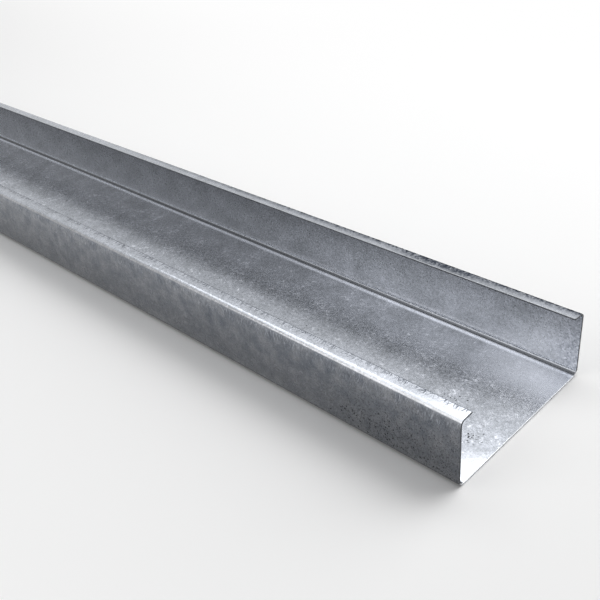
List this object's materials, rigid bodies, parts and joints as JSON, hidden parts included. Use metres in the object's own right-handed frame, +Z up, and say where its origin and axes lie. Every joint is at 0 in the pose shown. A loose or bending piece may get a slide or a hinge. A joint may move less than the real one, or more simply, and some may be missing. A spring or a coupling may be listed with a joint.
{
  "type": "purlin",
  "caption": "Lipped channel purlin, roll-formed from galvanised sheet steel, lying on its web with the open side up.",
  "frame": {"origin": "middle of the web's outside face, at mid-length, on the surface that the purlin lies on", "axes": "+X along the purlin towards the end that the picture shows, +Y across the web, +Z up out of the open side"},
  "size_m": [3, 0.203, 0.076],
  "materials": {
    "galvanised_steel": "hot-dip galvanised, fine mottled spangle, bare at the sheared ends and slit lip edges"
  },
  "bodies": {
    "root": {"c_purlin": "galvanised_steel"}
  },
  "joints": []
}
